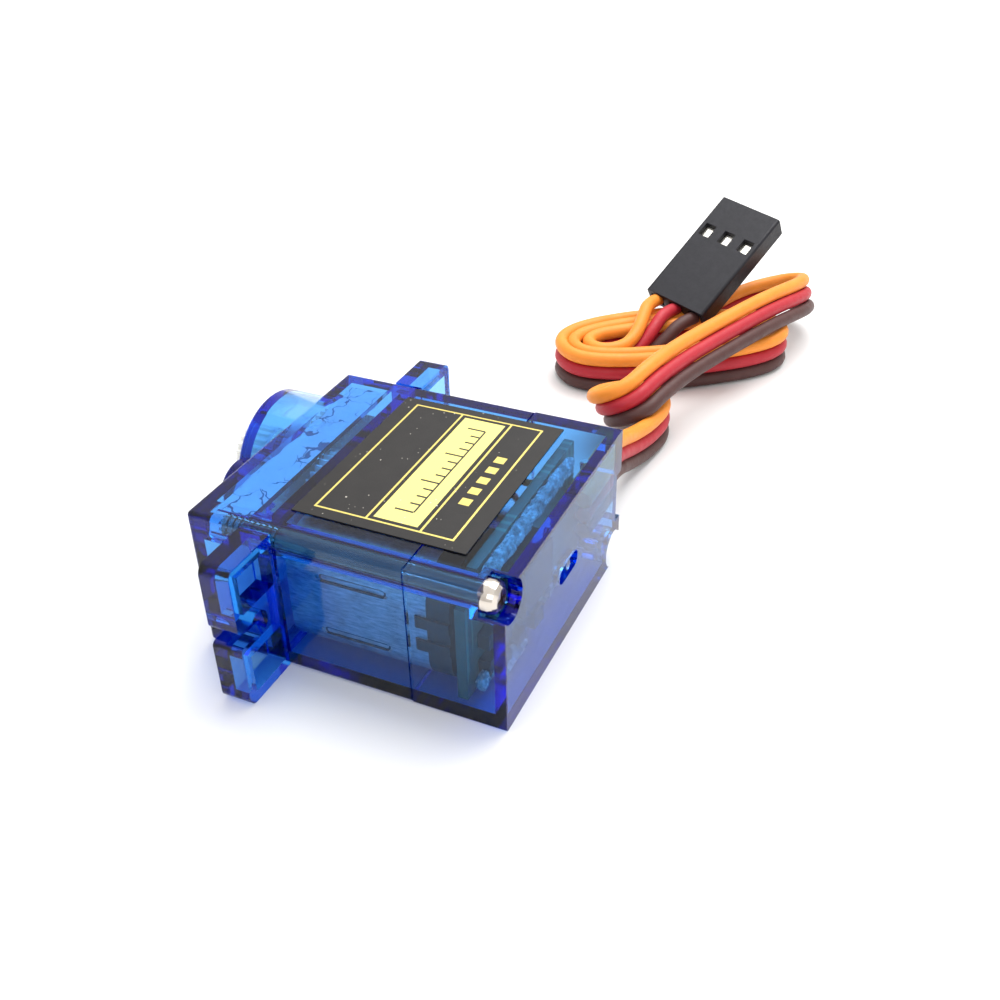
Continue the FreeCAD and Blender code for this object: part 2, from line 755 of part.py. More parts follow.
def add_teeth(body, low, high, kind, teeth):
    """A toothed disc: the root circle, one tooth, and the tooth repeated round it."""
    add(body, low, high, circle, "0", "0", f"{kind}_root")
    inner = f"{kind}_root - breakout"
    tooth = [(inner, f"-{kind}_tooth_base"), (f"{kind}_tip", f"-{kind}_tooth_tip")]
    tooth += [(f"{kind}_tip", f"{kind}_tooth_tip"), (inner, f"{kind}_tooth_base")]
    ring_of(body, add(body, low, high, polygon, tooth), teeth)


def level(number):
    """The underside of one level of the gear stack."""
    return f"(gear_floor + {number} * gear_step)"


def double_gear(name, x, number, bore):
    """A large wheel at one level with a small pinion on it at the next."""
    low = level(number)
    wheel_high = f"{low} + gear_face"
    high = f"{level(number + 1)} + gear_face"
    body = toothed_wheel(name, x, low, wheel_high, "wheel", WHEEL_TEETH)
    add_teeth(body, wheel_high, high, "pinion", PINION_TEETH)
    recess = sketch_on(body, low)
    circle(recess, "0", "0", "wheel_root - web_rim")
    circle(recess, "0", "0", "pinion_tip + web_hub")
    feature(body, "Pocket", recess, "web_depth").Reversed = True
    cut(body, low, high, circle, "0", "0", bore)


def output_gear():
    """The last wheel with its journal and splined output shaft."""
    low = level(3)
    wheel_high = f"{low} + output_face"
    body = toothed_wheel("output_gear", OUTPUT_X, low, wheel_high, "wheel", WHEEL_TEETH)
    spline_low = "tower_top + spline_low"
    add(body, wheel_high, spline_low, circle, "0", "0", "journal_radius")
    add(body, spline_low, "total_height", circle, "0", "0", "spline_root")
    inner = "spline_root - breakout"
    tooth = [(inner, "-spline_tooth_base"), ("spline_tip", "-spline_tooth_tip")]
    tooth += [("spline_tip", "spline_tooth_tip"), (inner, "spline_tooth_base")]
    ring_of(body, add(body, spline_low, "total_height", polygon, tooth), SPLINE_TEETH)
    cut(body, "total_height - horn_screw_depth", "total_height", circle, "0", "0", "horn_screw_radius")
    cut(body, low, f"{low} + pot_shaft_socket", circle, "0", "0", "pot_shaft_radius")


def idler_pin():
    body = new_body("idler_pin", IDLER_X)
    low = f"{DECK_TOP} - pin_socket * 2"
    high = f"({TOWER_CEILING} + pin_socket)"
    bevel = "pin_socket / 2"
    profile = [("0", low), ("axle_radius", low), ("axle_radius", f"{high} - {bevel}")]
    turned(body, profile + [(f"axle_radius - {bevel}", high), ("0", high)])


# ---------------------------------------------------------------- potentiometer


def potentiometer():
    """The position sensor under the output shaft: a cup, its track, and a wiper on the shaft."""
    roof = "(pot_high - pot_wall)"
    housing = new_body("potentiometer_housing", OUTPUT_X)
    add(housing, "pot_low", "pot_high", circle, "0", "0", "pot_radius")
    cut(housing, "pot_low", roof, circle, "0", "0", "pot_radius - pot_wall")
    add(housing, roof, "deck_underside", circle, "0", "0", "pot_boss_radius")
    cut(housing, roof, "deck_underside", circle, "0", "0", "pot_shaft_bore")
    track = new_body("potentiometer_track", OUTPUT_X)
    add(track, "pot_low", "pot_low + track_thickness", circle, "0", "0", "pot_radius - pot_wall")
    shaft = new_body("potentiometer_shaft", OUTPUT_X)
    shaft_low = "pot_low + pot_shaft_socket"
    add(shaft, shaft_low, f"{level(3)} + pot_shaft_socket", circle, "0", "0", "pot_shaft_radius")
    potentiometer_wiper()
    potentiometer_terminals()


def potentiometer_wiper():
    """A hub with an arm, whose end bends down to just over the track."""
    body = new_body("potentiometer_wiper", OUTPUT_X)
    low = "(pot_low + wiper_low)"
    hub_top = f"{low} + wiper_hub_height"
    foot_low = "pot_low + track_thickness + breakout"
    add(body, low, hub_top, circle, "0", "0", "wiper_hub_radius")
    add(body, low, f"{low} + wiper_thickness", block, "-wiper_reach", "0", "-wiper_half", "wiper_half")
    foot = ("-wiper_reach", "wiper_thickness - wiper_reach", "-wiper_half", "wiper_half")
    add(body, foot_low, low, block, *foot)
    cut(body, low, hub_top, circle, "0", "0", "pot_shaft_radius")


def potentiometer_terminals():
    legs = []
    for number in (-1, 0, 1):
        body = new_body("potentiometer_terminal", OUTPUT_X, f"{number} * pin_pitch", kept=False)
        leg = ("pot_leg_near", "pot_leg_far", "-pot_leg_half", "pot_leg_half")
        add(body, "pot_low - pot_leg_length", "pot_low", block, *leg)
        legs.append(body)
    group("potentiometer_terminals", legs)


# ---------------------------------------------------------------- circuit board


def circuit_board():
    body = new_body("circuit_board")
    along = (f"-{INNER_X} + board_left_gap", f"{INNER_X} - board_right_gap")
    add(body, "board_low", BOARD_TOP, block, *along, "-board_half_y", "board_half_y")
    for x, y, _ in screw_corners():
        cut(body, "board_low", BOARD_TOP, circle, x, y, "screw_post + board_post_gap")


def board_part(name, place, half_x, half_y, height):
    """A moulded component on the board's outer side, standing off towards the bottom cover."""
    body = new_body(name, *place, "board_low", kept=False)
    add(body, f"-{height}", "0", block, f"-{half_x}", half_x, f"-{half_y}", half_y)
    return body


def board_components():
    """Chip, four transistors and six chip resistors; places and sizes are x, y from the centre."""
    chip = board_part("control_chip", ("-2.2", "-0.6"), "2.5", "2.0", "1.1")
    pieces.append(chip)
    places = [("-7.6", "3.2"), ("-7.6", "0.8"), ("-4.8", "3.4"), ("-1.8", "3.4")]
    group("transistors", [board_part("transistor", place, "0.85", "0.65", "0.9") for place in places])
    places = [("1.6", "3.6"), ("3.2", "3.6"), ("4.8", "3.6")]
    places += [("2.4", "-3.8"), ("4.2", "-3.8"), ("-6.4", "-3.2")]
    group("small_components", [board_part("chip_resistor", place, "0.3", "0.6", "0.5") for place in places])


# ---------------------------------------------------------------- wires


def tube(points, radius):
    """A round wire along straight runs joined by tangent arcs, its length and the arcs' radii."""
    corners = [FreeCAD.Vector(*point) for point in points]
    edges = []
    radii = []
    start = corners[0]
    for before, corner, after in zip(corners, corners[1:], corners[2:]):
        inward = (before - corner).normalize()
        outward = (after - corner).normalize()
        half_turn = (math.pi - inward.getAngle(outward)) / 2
        reach = BEND_SHARE * min((before - corner).Length, (after - corner).Length)
        arc_radius = reach / math.tan(half_turn)
        centre = corner + (inward + outward).normalize() * (arc_radius / math.cos(half_turn))
        middle = centre + (corner - centre).normalize() * arc_radius
        entry = corner + inward * reach
        leave = corner + outward * reach
        edges.append(Part.LineSegment(start, entry).toShape())
        edges.append(Part.Arc(entry, middle, leave).toShape())
        radii.append(arc_radius)
        start = leave
    edges.append(Part.LineSegment(start, corners[-1]).toShape())
    path = Part.Wire(edges)
    section = Part.Wire(Part.Circle(corners[0], corners[1] - corners[0], radius).toShape())
    solid = path.makePipeShell([section], True, True)
    expected = math.pi * radius**2 * path.Length
    if abs(solid.Volume - expected) > 0.02 * expected:
        raise RuntimeError(f"a wire's volume is {solid.Volume:.2f}, not {expected:.2f}")
    return solid, path.Length, radii


def potentiometer_wires():
    """Three leads that run from the potentiometer's legs, with one bend, to the board."""
    board_top = size(BOARD_TOP)
    leg_x = size(f"{OUTPUT_X} + (pot_leg_near + pot_leg_far) / 2")
    leg_low = size("pot_low - pot_leg_length")
    bend = size("pot_wire_bend")
    aside = size("pot_wire_aside")
    closer = size("pot_wire_closer")
    leads = []
    for number in (-1, 0, 1):
        y = number * size("pin_pitch")
        half_way = (leg_low + board_top) / 2
        route = [(leg_x, y, leg_low), (leg_x, y, half_way + bend)]
        route += [(leg_x - aside, closer * y, half_way - bend), (leg_x - aside, closer * y, board_top)]
        leads.append(tube(route, size("pot_wire_radius"))[0])
    lay_down(plain_shape("potentiometer_wires", Part.makeCompound(leads)))


def cable_inner_leads():
    """The stretch of the three cable wires that lies inside the bottom cover."""
    leads = []
    for number in (-1, 0, 1):
        body = new_body("inner_lead", "0", f"{number} * wire_pitch", "wire_height", kept=False)
        add(body, INNER_LEAD_START, HALF_LENGTH, circle, "0", "0", "wire_radius", plane="YZ_Plane")
        leads.append(body)
    group("cable_inner_leads", leads)


# ---------------------------------------------------------------- cable

# The three wires stay side by side.  Each point is the middle wire's place, and the second
# triple is the direction from the ground wire, through it, to the signal wire.
UPRIGHT = (0.0, 0.0, 1.0)
LEAD_OUT = [
    ((11.4, -13.5, 6.0), UPRIGHT),
    ((14.8, -13.5, 6.0), UPRIGHT),
    ((18.8, -13.1, 5.0), UPRIGHT),
    ((22.8, -13.0, 3.5), UPRIGHT),
    ((27.0, -13.6, 2.4), UPRIGHT),
    ((31.2, -13.7, 2.2), UPRIGHT),
]
TAIL = [
    ((44.4, -9.3, 2.8), UPRIGHT),
    ((47.0, -9.0, 4.0), (0.4, 1.2, 0.4)),
    ((49.6, -8.9, 4.75), (0.6, 1.6, 0.2)),
]
COIL_OUTLINE = [
    (24.9, -10.4),
    (27.6, -14.9),
    (42.0, -19.2),
    (56.4, -23.0),
    (62.4, -22.2),
    (63.4, -17.4),
    (56.0, -6.2),
    (44.0, 1.6),
    (38.6, -0.2),
    (38.2, -6.2),
    (29.8, -7.2),
]
COIL_HEIGHT = 4.4
WIRES = (("signal_wire", 1), ("power_wire", 0), ("ground_wire", -1))


def beside(route, step):
    """The route of one wire of the ribbon: -1 for ground, 0 for power, 1 for signal."""
    pitch = size("wire_pitch") * step
    return [tuple(c + pitch * l for c, l in zip(centre, lean)) for centre, lean in route]


def cable():
    """The three wires: from the case to the coil, and from the coil's middle to the plug."""
    for name, step in WIRES:
        out, out_length, out_radii = tube(beside(LEAD_OUT, step), size("wire_radius"))
        tail, tail_length, tail_radii = tube(beside(TAIL, step), size("wire_radius"))
        plain_shape(name, Part.makeCompound([out, tail]))
        radii = ", ".join(f"{radius:.1f}" for radius in out_radii + tail_radii)
        print(f"{name}: {out_length:.1f} + {tail_length:.1f} mm, arc radii {radii}")


def cable_coil():
    """The outer shape of the flattened coil and of the turn that crosses over it."""
    corners = [FreeCAD.Vector(x, y, 0) for x, y in COIL_OUTLINE]
    floor = Part.Face(Part.makePolygon(corners + corners[:1]))
    plain_shape("cable_coil", floor.extrude(FreeCAD.Vector(0, 0, COIL_HEIGHT)))


# ---------------------------------------------------------------- connector


PLUG_FOOT = FreeCAD.Vector(49.6, -8.9, 4.75)
PLUG_HEADING = -24.5
PLUG_RISE = 32.0
PLUG_ROLL = 8.0


def place_plug(body):
    """The plug leans up out of the coil; its own +y runs from the cable end to the socket end."""
    for axis in "xyz":
        body.setExpression(f"Placement.Base.{axis}", None)
    turn = FreeCAD.Rotation(FreeCAD.Vector(0, 0, 1), PLUG_HEADING - 90)
    for axis, degrees in ((FreeCAD.Vector(1, 0, 0), PLUG_RISE), (FreeCAD.Vector(0, 1, 0), PLUG_ROLL)):
        turn = turn.multiply(FreeCAD.Rotation(axis, degrees))
    body.Placement = FreeCAD.Placement(PLUG_FOOT, turn)


def connector_housing():
    """A three-way socket: a bar with a cavity and a latch window for each contact."""
    housing = new_body("connector_housing")
    half = "plug_width / 2"
    add(housing, "-plug_depth / 2", "plug_depth / 2", block, f"-{half}", half, "0", "plug_length")
    round_edges(housing, "plug_round", lambda edge: edge.BoundBox.YLength > size("plug_length") - 0.1)
    for number in (-1, 0, 1):
        x = f"{number} * pin_pitch"
        cavity = (f"{x} - cavity_half", f"{x} + cavity_half", "-cavity_half", "cavity_half")
        cut(housing, "-plug_length", "cavity_length - plug_length", block, *cavity, plane="XZ_Plane")
        cut(housing, "-cavity_back", "0", block, *cavity, plane="XZ_Plane")
        across = (f"{x} - window_half", f"{x} + window_half")
        window = (*across, "plug_length - window_low", "plug_length - window_high")
        cut(housing, "cavity_half - overlap", "plug_depth / 2", block, *window)
    place_plug(housing)


def connector_contacts():
    contacts = []
    for number in (-1, 0, 1):
        body = new_body("connector_contact", kept=False)
        x = f"{number} * pin_pitch"
        outside = (f"{x} - contact_half", f"{x} + contact_half")
        inside = (f"{x} - contact_bore", f"{x} + contact_bore")
        front = "plug_length - contact_inset"
        add(body, "-contact_half", "contact_half", block, *outside, "contact_low", front)
        cut(body, "-contact_bore", "contact_bore", block, *inside, "contact_bore_low", front)
        place_plug(body)
        contacts.append(body)
    group("connector_contacts", contacts)


# ---------------------------------------------------------------- build and write


def build():
    fill_sheet()
    bottom_cover()
    middle_case()
    top_case()
    case_screws()
    label()
    motor_can()
    motor_end_cap()
    motor_magnets()
    motor_bushings()
    motor_brushes()
    motor_terminals()
    rotor()
    double_gear("gear_1", IDLER_X, 0, "axle_bore")
    double_gear("gear_2", OUTPUT_X, 1, "pot_shaft_bore")
    double_gear("gear_3", IDLER_X, 2, "axle_bore")
    output_gear()
    idler_pin()
    potentiometer()
    circuit_board()
    board_components()
    potentiometer_wires()
    cable_inner_leads()
    cable()
    cable_coil()
    connector_housing()
    connector_contacts()
    doc.recompute()


def check():
    """Stops if anything failed to compute or any piece isn't a valid solid."""
    for item in doc.Objects:
        if "Invalid" in item.State or "Error" in item.State:
            raise RuntimeError(f"{item.Name} of {item.Label} failed: {item.State}")
    for piece in pieces:
        if piece.Shape.isNull() or not piece.Shape.isValid() or not piece.Shape.Solids:
            raise RuntimeError(f"{piece.Label} is not a valid solid")


def write():
    os.makedirs("parts", exist_ok=True)
    for piece in pieces:
        piece.Shape.exportStep(f"parts/{piece.Label}.step")
        print(f"{piece.Label}: {len(piece.Shape.Solids)} solid(s), {piece.Shape.Volume:.2f} mm3")


build()
check()
write()
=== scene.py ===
"""The look of a nine-gram hobby servo: materials, camera, light, the free cable and small soft details.

Lengths are in millimetres, and MM turns them into metres, unless a comment says otherwise.
X runs along the mounting ears, Y along the output shaft, and Z is up.  The labelled broad face
is the top one.
"""

import math

import bmesh
import bpy
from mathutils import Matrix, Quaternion, Vector, noise


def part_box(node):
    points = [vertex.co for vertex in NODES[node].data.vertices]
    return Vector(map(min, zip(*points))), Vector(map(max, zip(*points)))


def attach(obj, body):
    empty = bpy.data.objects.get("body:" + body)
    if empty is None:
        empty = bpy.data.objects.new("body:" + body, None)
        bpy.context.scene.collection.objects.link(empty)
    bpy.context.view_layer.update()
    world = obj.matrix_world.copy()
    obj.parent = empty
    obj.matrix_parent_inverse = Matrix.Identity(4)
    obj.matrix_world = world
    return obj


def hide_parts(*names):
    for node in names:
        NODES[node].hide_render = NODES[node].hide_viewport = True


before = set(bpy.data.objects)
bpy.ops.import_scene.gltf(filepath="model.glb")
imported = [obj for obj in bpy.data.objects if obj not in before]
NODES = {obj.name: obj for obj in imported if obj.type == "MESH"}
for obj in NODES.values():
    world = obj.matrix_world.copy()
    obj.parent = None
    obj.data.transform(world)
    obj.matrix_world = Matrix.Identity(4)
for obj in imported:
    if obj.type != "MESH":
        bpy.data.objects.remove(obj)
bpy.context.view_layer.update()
MM = 0.001
CASE_WALL = 0.9
CASE_PARTS = ("bottom_cover", "middle_case", "top_case")
# How far each clear part draws back from its neighbours.
SEAM_GAP = 0.006

# ---------------------------------------------------------------- camera and light


CAMERA_PLACE = Vector((-63.6, -40.25, 58.5)) * MM
CAMERA_TARGET = Vector((3.9, -8.6, 8.05)) * MM
CAMERA_ROLL = math.radians(-1.38)
CAMERA_LENS = 41.7


# The room's brightness, as a share of SKY_STRENGTH, at the horizon and overhead.
SKY = [(0.0, 0.75), (1.0, 1.0)]
SKY_STRENGTH = 1.1
SKY_TINT = (1.0, 0.985, 0.97)
# Each lamp's place and size in metres, its power in watts and its colour.
LAMPS = {
    "key": ((0.24, -0.03, 0.48), 0.42, 3.1, (1.0, 1.0, 1.0)),
    "window": ((-0.45, -0.1, 0.3), 0.25, 0.4, (0.93, 0.96, 1.0)),
}


def make_camera():
    camera = bpy.data.objects.new("camera", bpy.data.cameras.new("camera"))
    bpy.context.collection.objects.link(camera)
    camera.data.lens = CAMERA_LENS
    camera.data.clip_start = 1 * MM
    camera.location = CAMERA_PLACE
    aim = (CAMERA_TARGET - CAMERA_PLACE).to_track_quat("-Z", "Y")
    camera.rotation_mode = "QUATERNION"
    camera.rotation_quaternion = aim @ Quaternion((0, 0, 1), CAMERA_ROLL)
    bpy.context.scene.camera = camera


def soft_light(name, place, size, power, colour):
    """A square area light aimed at the servo."""
    data = bpy.data.lights.new(name, "AREA")
    data.size = size
    data.energy = power
    data.color = colour
    light = bpy.data.objects.new(name, data)
    bpy.context.collection.objects.link(light)
    light.location = place
    light.rotation_mode = "QUATERNION"
    light.rotation_quaternion = (-Vector(place)).to_track_quat("-Z", "Y")


def make_sky():
    """A white room, a little darker towards the horizon."""
    world = bpy.data.worlds.new("studio")
    bpy.context.scene.world = world
    world.use_nodes = True
    nodes, links = world.node_tree.nodes, world.node_tree.links
    background = nodes["Background"]
    background.inputs["Strength"].default_value = SKY_STRENGTH
    coordinates = nodes.new("ShaderNodeTexCoord")
    height = nodes.new("ShaderNodeSeparateXYZ")
    links.new(coordinates.outputs["Generated"], height.inputs[0])
    sky = nodes.new("ShaderNodeValToRGB")
    for stop, (place, share) in zip(sky.color_ramp.elements, SKY):
        stop.position = place
        stop.color = (*(share * part for part in SKY_TINT), 1.0)
    links.new(height.outputs["Z"], sky.inputs[0])
    links.new(sky.outputs[0], background.inputs["Color"])


def make_light():
    scene = bpy.context.scene
    scene.view_settings.view_transform = "Standard"
    scene.cycles.max_bounces = 20
    scene.cycles.glossy_bounces = 12
    scene.cycles.transmission_bounces = 20
    make_sky()
    for name, (place, size, power, colour) in LAMPS.items():
        soft_light(name, place, size, power, colour)


# ---------------------------------------------------------------- the cable

WIRE_RADIUS = 0.7
WIRE_PITCH = 1.45
# The middle wire's height where the ribbon stands on edge on the floor.
FLOOR_HEIGHT = 2.2
UPRIGHT = (0.0, 0.0, 1.0)
# Each point is the middle wire's place, and the second triple is the direction from the ground
# wire, through it, to the signal wire.
LEAD_OUT = [
    ((11.4, -13.5, 6.0), UPRIGHT),
    ((14.8, -13.5, 6.0), UPRIGHT),
    ((18.8, -13.1, 4.8), UPRIGHT),
    ((22.8, -13.0, 3.0), UPRIGHT),
    ((26.8, -13.6, 2.2), UPRIGHT),
    ((30.2, -13.9, 2.2), UPRIGHT),
    ((33.0, -12.5, 2.2), UPRIGHT),
    ((32.8, -9.8, 2.3), (0.0, 0.2, 0.98)),
]
CROSSING_TURN = [
    ((30.2, -8.0, 2.8), (0.0, 0.4, 0.92)),
    ((27.6, -8.3, 3.7), (0.0, 0.65, 0.76)),
    ((25.8, -9.9, 5.0), (0.0, 0.72, 0.69)),
    ((26.6, -12.1, 6.0), (0.1, 0.72, 0.69)),
    ((29.8, -12.9, 6.6), (0.2, 0.66, 0.72)),
    ((35.0, -14.1, 6.6), (0.26, 0.63, 0.73)),
    ((42.2, -16.5, 6.5), (0.26, 0.63, 0.73)),
    ((49.8, -19.2, 6.35), (0.26, 0.6, 0.75)),
    ((57.0, -21.2, 5.2), (0.2, 0.5, 0.85)),
    ((60.9, -20.6, 4.1), (0.1, 0.2, 0.97)),
    ((61.9, -17.6, 3.1), UPRIGHT),
    ((58.8, -13.6, 2.4), UPRIGHT),
]
TAIL = [
    ((42.6, -2.7, 2.2), UPRIGHT),
    ((41.1, -2.0, 2.2), UPRIGHT),
    ((39.7, -2.6, 2.2), UPRIGHT),
    ((39.3, -4.1, 2.2), UPRIGHT),
    ((40.1, -5.4, 2.2), UPRIGHT),
    ((41.5, -6.4, 2.3), (0.0, 0.1, 1.0)),
    ((43.0, -7.2, 3.0), (0.1, 0.4, 0.9)),
    ((45.0, -7.9, 4.2), (0.4, 1.0, 0.6)),
    ((47.3, -8.2, 5.1), (0.5, 1.4, 0.35)),
    ((49.6, -8.9, 4.75), (0.6, 1.6, 0.2)),
]
# The coil's outermost turn, and how far each next one comes in at its sides and at its ends.
# COIL_START is the share of a turn at which the coil begins.
COIL_CENTRE = (45.3, -10.2)
COIL_HEADING = math.radians(-56)
COIL_HALF_LENGTH = 12.8
COIL_HALF_WIDTH = 5.6
COIL_START = 0.2
COIL_TURNS = 2.15
COIL_SHRINK = 1.42
COIL_END_SHRINK = 0.9 * COIL_SHRINK
# Under 1 squares the oval off, and 1 leaves it an ellipse.
COIL_SQUARENESS = 0.78
POINTS_PER_TURN = 14


def flattened(value):
    """A cosine or sine, changed so that the oval it draws has blunter ends."""
    return math.copysign(abs(value) ** COIL_SQUARENESS, value)


def coil_route():
    """Flattened turns that lie on the floor, each about a wire's width inside the last."""
    route = []
    for step in range(int(COIL_TURNS * POINTS_PER_TURN) + 1):
        turn = step / POINTS_PER_TURN
        angle = math.tau * (COIL_START + turn)
        along = (COIL_HALF_LENGTH - COIL_END_SHRINK * turn) * flattened(math.cos(angle))
        across = (COIL_HALF_WIDTH - COIL_SHRINK * turn) * flattened(math.sin(angle))
        x = COIL_CENTRE[0] + along * math.cos(COIL_HEADING) - across * math.sin(COIL_HEADING)
        y = COIL_CENTRE[1] + along * math.sin(COIL_HEADING) + across * math.cos(COIL_HEADING)
        route.append(((x, y, FLOOR_HEIGHT), UPRIGHT))
    return route


def make_wire(name, node, step, material):
    """One wire of the ribbon; step is its place in it, from -1 below to 1 above."""
    curve = bpy.data.curves.new(name, "CURVE")
    curve.dimensions = "3D"
    curve.resolution_u = 10
    curve.bevel_depth = WIRE_RADIUS * MM
    curve.bevel_resolution = 5
    curve.use_fill_caps = True
    route = LEAD_OUT + CROSSING_TURN + coil_route() + TAIL
    points = [(Vector(centre) + Vector(lean) * WIRE_PITCH * step) * MM for centre, lean in route]
    spline = curve.splines.new("NURBS")
    spline.points.add(len(points) - 1)
    for control, point in zip(spline.points, points):
        control.co = (*point, 1.0)
    spline.order_u = 3
    spline.use_endpoint_u = True
    wire = bpy.data.objects.new(name, curve)
    bpy.context.collection.objects.link(wire)
    curve.materials.append(material)
    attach(wire, "case")
    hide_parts(node, "cable_coil")


# ---------------------------------------------------------------- material helpers


class Shader:
    """A material with a Principled shader and short ways to add the nodes used below."""

    def __init__(self, name, colour, roughness, **sockets):
        self.material = bpy.data.materials.new(name)
        self.material.use_nodes = True
        self.tree = self.material.node_tree
        self.surface = self.tree.nodes["Principled BSDF"]
        self.output = self.tree.nodes["Material Output"]
        self.surface.inputs["Base Color"].default_value = (*colour, 1.0)
        self.surface.inputs["Roughness"].default_value = roughness
        for socket, value in sockets.items():
            self.surface.inputs[socket.replace("_", " ")].default_value = value
        coordinates = self.node("ShaderNodeTexCoord")
        self.millimetres = self.node("ShaderNodeVectorMath", operation="SCALE")
        self.millimetres.inputs["Scale"].default_value = 1 / MM
        self.link(coordinates.outputs["Object"], self.millimetres.inputs[0])
        self.place = self.millimetres.outputs[0]

    def node(self, kind, **settings):
        made = self.tree.nodes.new(kind)
        for name, value in settings.items():
            setattr(made, name, value)
        return made

    def link(self, source, target):
        self.tree.links.new(source, target)

    def plug(self, value, target):
        """Links an output, or sets a plain number."""
        if isinstance(value, (int, float)):
            target.default_value = value
        else:
            self.link(value, target)

    def math(self, operation, *values):
        made = self.node("ShaderNodeMath", operation=operation)
        for value, target in zip(values, made.inputs):
            self.plug(value, target)
        return made.outputs[0]

    def stretched(self, scale):
        """Millimetre coordinates multiplied by a scale for each axis."""
        made = self.node("ShaderNodeVectorMath", operation="MULTIPLY")
        self.link(self.place, made.inputs[0])
        made.inputs[1].default_value = scale
        return made.outputs[0]

    def noise(self, scale, detail=3.0, stretch=(1, 1, 1), roughness=0.5, distortion=0.0):
        made = self.node("ShaderNodeTexNoise")
        made.inputs["Scale"].default_value = scale
        made.inputs["Detail"].default_value = detail
        made.inputs["Roughness"].default_value = roughness
        made.inputs["Distortion"].default_value = distortion
        self.link(self.stretched(stretch), made.inputs["Vector"])
        return made.outputs[0]

    def ramp(self, value, low, high, to_low=0.0, to_high=1.0):
        """Maps value from low..high to to_low..to_high, clamped."""
        made = self.node("ShaderNodeMapRange")
        self.link(value, made.inputs["Value"])
        limits = {"From Min": low, "From Max": high, "To Min": to_low, "To Max": to_high}
        for name, number in limits.items():
            made.inputs[name].default_value = number
        return made.outputs[0]

    def mix(self, share, first, second):
        """A colour between two colours or outputs."""
        made = self.node("ShaderNodeMix", data_type="RGBA")
        self.plug(share, made.inputs[0])
        for value, target in ((first, made.inputs[6]), (second, made.inputs[7])):
            if isinstance(value, tuple):
                target.default_value = (*value, 1.0)
            else:
                self.link(value, target)
        return made.outputs[2]

    def bump(self, height, distance, strength=1.0):
        """Adds relief to the surface; distance is in millimetres."""
        made = self.node("ShaderNodeBump")
        made.inputs["Strength"].default_value = strength
        made.inputs["Distance"].default_value = distance * MM
        self.link(height, made.inputs["Height"])
        self.link(made.outputs[0], self.surface.inputs["Normal"])

    def colour(self, output):
        self.link(output, self.surface.inputs["Base Color"])

    def roughness(self, output):
        self.link(output, self.surface.inputs["Roughness"])

    def axis(self, name):
        """One coordinate, in millimetres."""
        made = self.node("ShaderNodeSeparateXYZ")
        self.link(self.place, made.inputs[0])
        return made.outputs[name]

    def between(self, value, low, high):
        """1 where value lies between low and high, else 0."""
        above = self.math("GREATER_THAN", value, low)
        below = self.math("LESS_THAN", value, high)
        return self.math("MULTIPLY", above, below)


# ---------------------------------------------------------------- materials

# The two grooves pressed into each side of the motor can: where their centre lines start and end,
# how far apart they are, and how far from the centre line the painted shade round them starts and ends.
GROOVE_LOW = -6.0
GROOVE_HIGH = -1.3
GROOVE_SPACING = 4.8
GROOVE_SHADE = (0.2, 0.36)
# The y values between which the screws' shank, darkened as painted shade, turns into the bright head.
SCREW_HEAD_FADE = (-13.7, -13.9)


def clear_blue():
    """Polished, deep blue polycarbonate, with faint flow marks and handling scratches."""
    shader = Shader("clear_blue", (0.93, 0.97, 1.0), 0.03, IOR=1.41, Transmission_Weight=1.0)
    haze = shader.noise(0.35, 4.0)
    shader.roughness(shader.ramp(haze, 0.42, 0.7, 0.015, 0.08))
    flow = shader.noise(0.5, 2.0, (0.5, 1.0, 1.0))
    scratches = shader.noise(1.6, 5.0, (0.4, 6.0, 2.0), distortion=0.4)
    relief = shader.math("ADD", flow, shader.math("MULTIPLY", scratches, 0.12))
    shader.bump(relief, 0.035, 0.4)
    # Lamps shine straight through with this tint, so that what is inside is lit.
    lamp_light = shader.node("ShaderNodeBsdfTransparent")
    lamp_light.inputs["Color"].default_value = (0.52, 0.6, 0.74, 1.0)
    rays = shader.node("ShaderNodeLightPath")
    share = shader.node("ShaderNodeMixShader")
    shader.link(rays.outputs["Is Shadow Ray"], share.inputs[0])
    shader.link(shader.surface.outputs[0], share.inputs[1])
    shader.link(lamp_light.outputs[0], share.inputs[2])
    shader.link(share.outputs[0], shader.output.inputs["Surface"])
    absorb = shader.node("ShaderNodeVolumeAbsorption")
    absorb.inputs["Color"].default_value = (0.0, 0.61, 0.93, 1.0)
    absorb.inputs["Density"].default_value = 1180.0
    shader.link(absorb.outputs[0], shader.output.inputs["Volume"])
    return shader.material


def milky_nylon():
    """Moulded gear nylon: off-white, waxy, a little see-through at the thin teeth."""
    shader = Shader("milky_nylon", (0.78, 0.78, 0.74), 0.42, Subsurface_Weight=0.35)
    shader.surface.inputs["Subsurface Radius"].default_value = (1.0, 0.9, 0.7)
    shader.surface.inputs["Subsurface Scale"].default_value = 0.6 * MM
    tone = shader.noise(0.6, 3.0)
    shader.colour(shader.mix(tone, (0.70, 0.70, 0.66), (0.84, 0.84, 0.81)))
    shader.roughness(shader.ramp(shader.noise(2.0), 0.3, 0.7, 0.34, 0.52))
    shader.bump(shader.noise(6.0, 4.0), 0.02, 0.5)
    return shader.material


def satin_black(name, colour, low, high, specular=0.5):
    """Moulded black plastic with a fine spark-eroded grain."""
    shader = Shader(name, colour, low, Specular_IOR_Level=specular)
    worn = tuple(1.25 * part + 0.002 for part in colour)
    shader.colour(shader.mix(shader.ramp(shader.noise(0.9, 5.0), 0.45, 0.8), colour, worn))
    shader.roughness(shader.ramp(shader.noise(3.0, 4.0), 0.3, 0.7, low, high))
    shader.bump(shader.noise(14.0, 3.0), 0.012, 0.6)
    return shader.material


